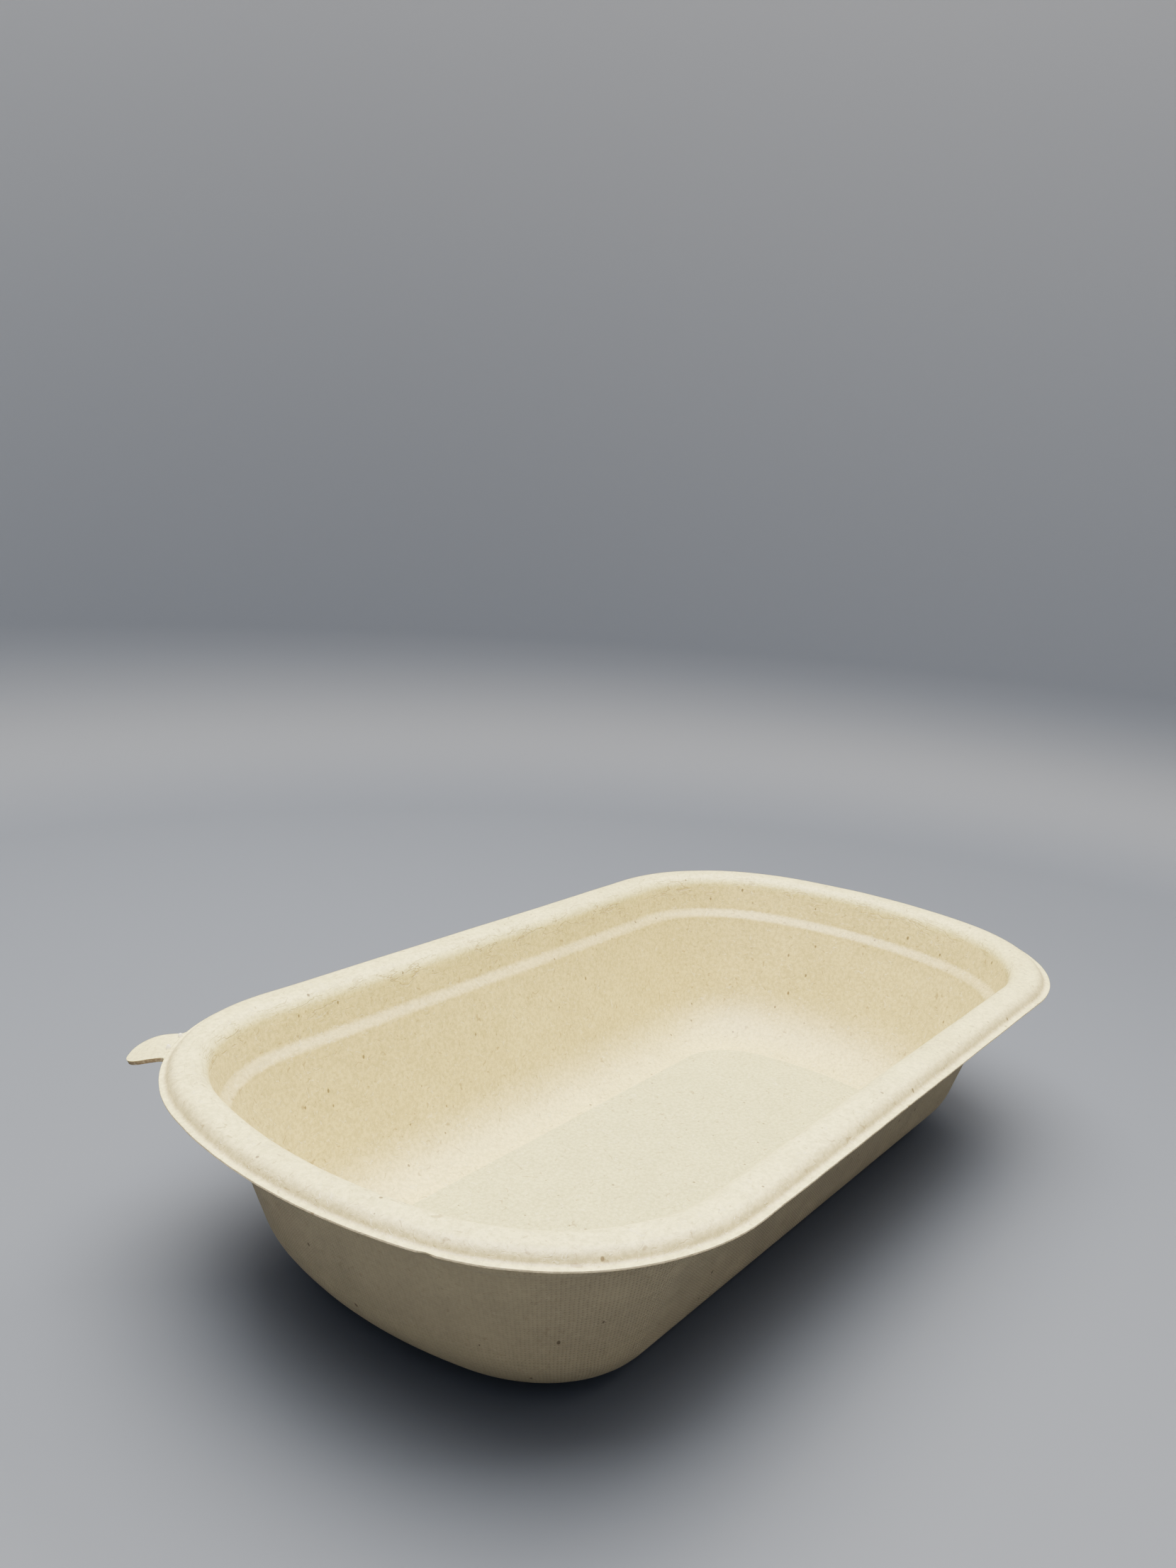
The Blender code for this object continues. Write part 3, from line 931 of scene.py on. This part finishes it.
class FIBREDISH_OT_pressed_wall(bpy.types.Operator):
    """Model the pressed wall of the dish, from the lip's edge to the floor, with the tab still on it"""

    bl_idname = "fibre_dish.pressed_wall"
    bl_label = "Pressed Wall"

    def execute(self, context):
        sizes = context.scene.fibre_dish_sizes
        outline = Outline(sizes)
        rows = wall_rings(wall_section(sizes, True), wall_section(sizes, False))
        piece = start_rim(ring_places(outline, rows[0]))
        make_active(piece)
        bpy.ops.object.mode_set(mode="EDIT")
        bpy.ops.mesh.select_mode(type="EDGE")
        bpy.ops.mesh.select_all(action="SELECT")
        for number, row in enumerate(rows[1:], start=1):
            places = ring_places(outline, row)
            extrude_row(piece, number, lambda station, places=places: places[station], row[4])
        add_floor(piece, outline, sizes, rows[-1], len(rows))
        add_tab(piece, outline, sizes)
        bpy.ops.mesh.select_all(action="SELECT")
        bpy.ops.mesh.normals_make_consistent(inside=False)
        mesh = bmesh.from_edit_mesh(piece.data)
        if sum(face.normal.z * face.calc_area() for face in mesh.faces) < 0.0:
            bpy.ops.mesh.flip_normals()
        uneven(piece, sizes)
        bpy.ops.object.mode_set(mode="OBJECT")
        lay_wall_map(piece, outline, len(rows))
        mark_shares(piece, sizes)
        for material in dish_materials():
            piece.data.materials.append(material)
        feather_lip(piece, outline)
        thicken(piece, sizes)
        bpy.ops.object.shade_smooth_by_angle(angle=math.radians(50.0))
        return {"FINISHED"}


class FIBREDISH_OT_lift_tab(bpy.types.Operator):
    """Part the lift tab from the wall along its crease, and let it bend there"""

    bl_idname = "fibre_dish.lift_tab"
    bl_label = "Lift Tab"

    def execute(self, context):
        sizes = context.scene.fibre_dish_sizes
        outline = Outline(sizes)
        dish = bpy.data.objects["pressed_dish"]
        make_active(dish)
        bpy.ops.object.mode_set(mode="EDIT")
        bpy.ops.mesh.select_mode(type="FACE")
        bpy.ops.mesh.select_all(action="DESELECT")
        mesh = bmesh.from_edit_mesh(dish.data)
        for face in mesh.faces:
            middle = face.calc_center_median() - outline.corner_centre
            across = abs(middle.dot(TAB_ALONG))
            middle.z = 0.0
            beyond = middle.dot(TAB_OUT) > 0.0 and middle.length > sizes.rim_corner + 0.02 * MM
            face.select = beyond and across < outline.root_half
        bmesh.update_edit_mesh(dish.data)
        bpy.ops.mesh.separate(type="SELECTED")
        bpy.ops.object.mode_set(mode="OBJECT")
        tab = [o for o in context.selected_objects if o != dish][0]
        tab.name = "bending_tab"
        tab.data.name = "bending_tab"
        for piece in (dish, tab):
            fill_open_edges(piece)
        crease = outline.corner_centre + TAB_OUT * sizes.rim_corner
        crease.z = HINGE_SPOT.z
        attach(dish, "dish")
        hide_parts("dish")
        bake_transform(tab, "dish", "lift_tab", start=crease, end=crease + TAB_OUT * 2.0 * MM)
        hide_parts("lift_tab")
        return {"FINISHED"}


class FIBREDISH_OT_crease_nubs(bpy.types.Operator):
    """Set the two small nubs of fibre beside the crease of the tab"""

    bl_idname = "fibre_dish.crease_nubs"
    bl_label = "Crease Nubs"

    def execute(self, context):
        sizes = context.scene.fibre_dish_sizes
        outline = Outline(sizes)
        # Near-white: pale fibre with a painted glint, brighter than the rim
        nub_fibre_and_glint = plain_material("nub_fibre_and_glint", NUB_FIBRE_AND_GLINT, 0.8)
        for name, (out, along) in NUB_SPOTS.items():
            deselect_all()
            bpy.ops.mesh.primitive_uv_sphere_add(segments=24, ring_count=12, radius=1.0 * MM)
            nub = context.active_object
            nub.name = name
            nub.data.name = name
            nub.scale = (0.50, 0.42, 0.85)
            nub.rotation_euler = (0.0, 0.0, TAB_ANGLE + 0.5)
            nub.location = outline.corner_centre + TAB_OUT * (sizes.rim_corner + out) + TAB_ALONG * along
            nub.location.z = LIP_TOP - 0.03 * MM
            bpy.ops.object.transform_apply(location=True, rotation=True, scale=True)
            for vert in nub.data.vertices:
                vert.co += vert.normal * noise.noise(vert.co * 2400.0) * 0.10 * MM
            bpy.ops.object.shade_smooth()
            nub.data.materials.append(nub_fibre_and_glint)
            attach(nub, "dish")
        return {"FINISHED"}


def round_cove(flat_radius, bend, rise):
    """A round table whose rim sweeps up into a plain wall."""
    deselect_all()
    bpy.ops.mesh.primitive_circle_add(vertices=144, radius=flat_radius, fill_type="NGON",
                                      location=(0.0, 0.0, DISH_LOW.z - 0.2 * MM))
    table = bpy.context.active_object
    table.name = "table"
    bpy.ops.object.mode_set(mode="EDIT")
    bpy.ops.mesh.select_mode(type="EDGE")
    steps = 12
    angles = [math.pi / 2 * i / steps for i in range(steps + 1)]
    path = [(flat_radius + bend * math.sin(a), bend * (1 - math.cos(a))) for a in angles]
    path.append((path[-1][0], path[-1][1] + rise))
    bpy.ops.mesh.select_all(action="SELECT")
    for (radius, height), (wider, higher) in zip(path, path[1:]):
        mesh = bmesh.from_edit_mesh(table.data)
        select_only(mesh, [e for e in mesh.edges if len(e.link_faces) == 1 and all(
            abs(v.co.z - height) < 1e-6 for v in e.verts)])
        bmesh.update_edit_mesh(table.data)
        bpy.ops.mesh.extrude_edges_move(TRANSFORM_OT_translate={"value": (0.0, 0.0, higher - height)})
        growth = wider / radius
        bpy.ops.transform.resize(value=(growth, growth, 1.0), center_override=(0.0, 0.0, 0.0))
    bpy.ops.object.mode_set(mode="OBJECT")
    bpy.ops.object.shade_smooth()
    bpy.ops.object.transform_apply(location=True, rotation=False, scale=False)
    return table


def soft_light(name, spot, size, power):
    """A square of warm light that faces the dish."""
    data = bpy.data.lights.new(name, "AREA")
    data.shape = "SQUARE"
    data.size = size
    data.energy = power
    data.color = WARM_LIGHT
    lamp = bpy.data.objects.new(name, data)
    bpy.context.scene.collection.objects.link(lamp)
    lamp.location = spot
    lamp.rotation_euler = (-lamp.location).to_track_quat("-Z", "Y").to_euler()


def add_camera(spot, heading, dip, roll, lens):
    """A level camera turned to its heading, dipped, then rolled about its own axis."""
    data = bpy.data.cameras.new("studio_camera")
    data.sensor_width = 36.0
    data.lens = lens
    data.clip_start = 0.01
    camera = bpy.data.objects.new("studio_camera", data)
    bpy.context.scene.collection.objects.link(camera)
    turn = Matrix.Rotation(-heading, 4, "Z") @ Matrix.Rotation(math.pi / 2 - dip, 4, "X")
    camera.matrix_world = Matrix.Translation(spot) @ turn @ Matrix.Rotation(roll, 4, "Z")
    bpy.context.scene.camera = camera


class FIBREDISH_OT_studio(bpy.types.Operator):
    """Lay the table, hang the soft light and set the camera"""

    bl_idname = "fibre_dish.studio"
    bl_label = "Studio"

    def execute(self, context):
        colours = context.scene.fibre_dish_colours
        table = round_cove(flat_radius=0.36, bend=0.08, rise=0.40)
        table.data.materials.append(plain_material("table_top", tuple(colours.paving), 0.62))
        soft_light("overhead_softbox", (-0.05, 0.04, 1.08), 1.0, 36.0)
        soft_light("ceiling", (0.0, 0.0, 1.60), 2.4, 46.0)
        soft_light("back_softbox", (0.80, -0.10, 0.84), 0.5, 12.0)
        world = bpy.data.worlds.new("studio_air")
        world.use_nodes = True
        air = world.node_tree.nodes["Background"]
        air.inputs["Color"].default_value = (1.0, 0.70, 0.40, 1.0)
        air.inputs["Strength"].default_value = 0.75
        context.scene.world = world
        add_camera(spot=Vector((-0.23395, -0.14662, 0.15090)), heading=math.radians(53.358),
                   dip=math.radians(12.070), roll=math.radians(4.076), lens=29.297)
        return {"FINISHED"}


class FIBREDISH_PT_panel(bpy.types.Panel):
    """Lists the steps that build the dish"""

    bl_idname = "FIBREDISH_PT_panel"
    bl_label = "Fibre Dish"
    bl_space_type = "VIEW_3D"
    bl_region_type = "UI"
    bl_category = "Fibre Dish"

    def draw(self, context):
        layout = self.layout
        for step in STEPS:
            layout.operator(step.bl_idname)
        for group in (context.scene.fibre_dish_sizes, context.scene.fibre_dish_colours):
            column = layout.column()
            for key in group.__annotations__:
                column.prop(group, key)


STEPS = (FIBREDISH_OT_pressed_wall, FIBREDISH_OT_lift_tab, FIBREDISH_OT_crease_nubs, FIBREDISH_OT_studio)
CLASSES = (FibreDishSizes, FibreDishColours) + STEPS + (FIBREDISH_PT_panel,)


def register():
    for each in CLASSES:
        bpy.utils.register_class(each)
    bpy.types.Scene.fibre_dish_sizes = bpy.props.PointerProperty(type=FibreDishSizes)
    bpy.types.Scene.fibre_dish_colours = bpy.props.PointerProperty(type=FibreDishColours)


def unregister():
    del bpy.types.Scene.fibre_dish_colours
    del bpy.types.Scene.fibre_dish_sizes
    for each in reversed(CLASSES):
        bpy.utils.unregister_class(each)


def main():
    register()
    bpy.ops.fibre_dish.pressed_wall()
    bpy.ops.fibre_dish.lift_tab()
    bpy.ops.fibre_dish.crease_nubs()
    bpy.ops.fibre_dish.studio()


if __name__ == "__main__":
    main()
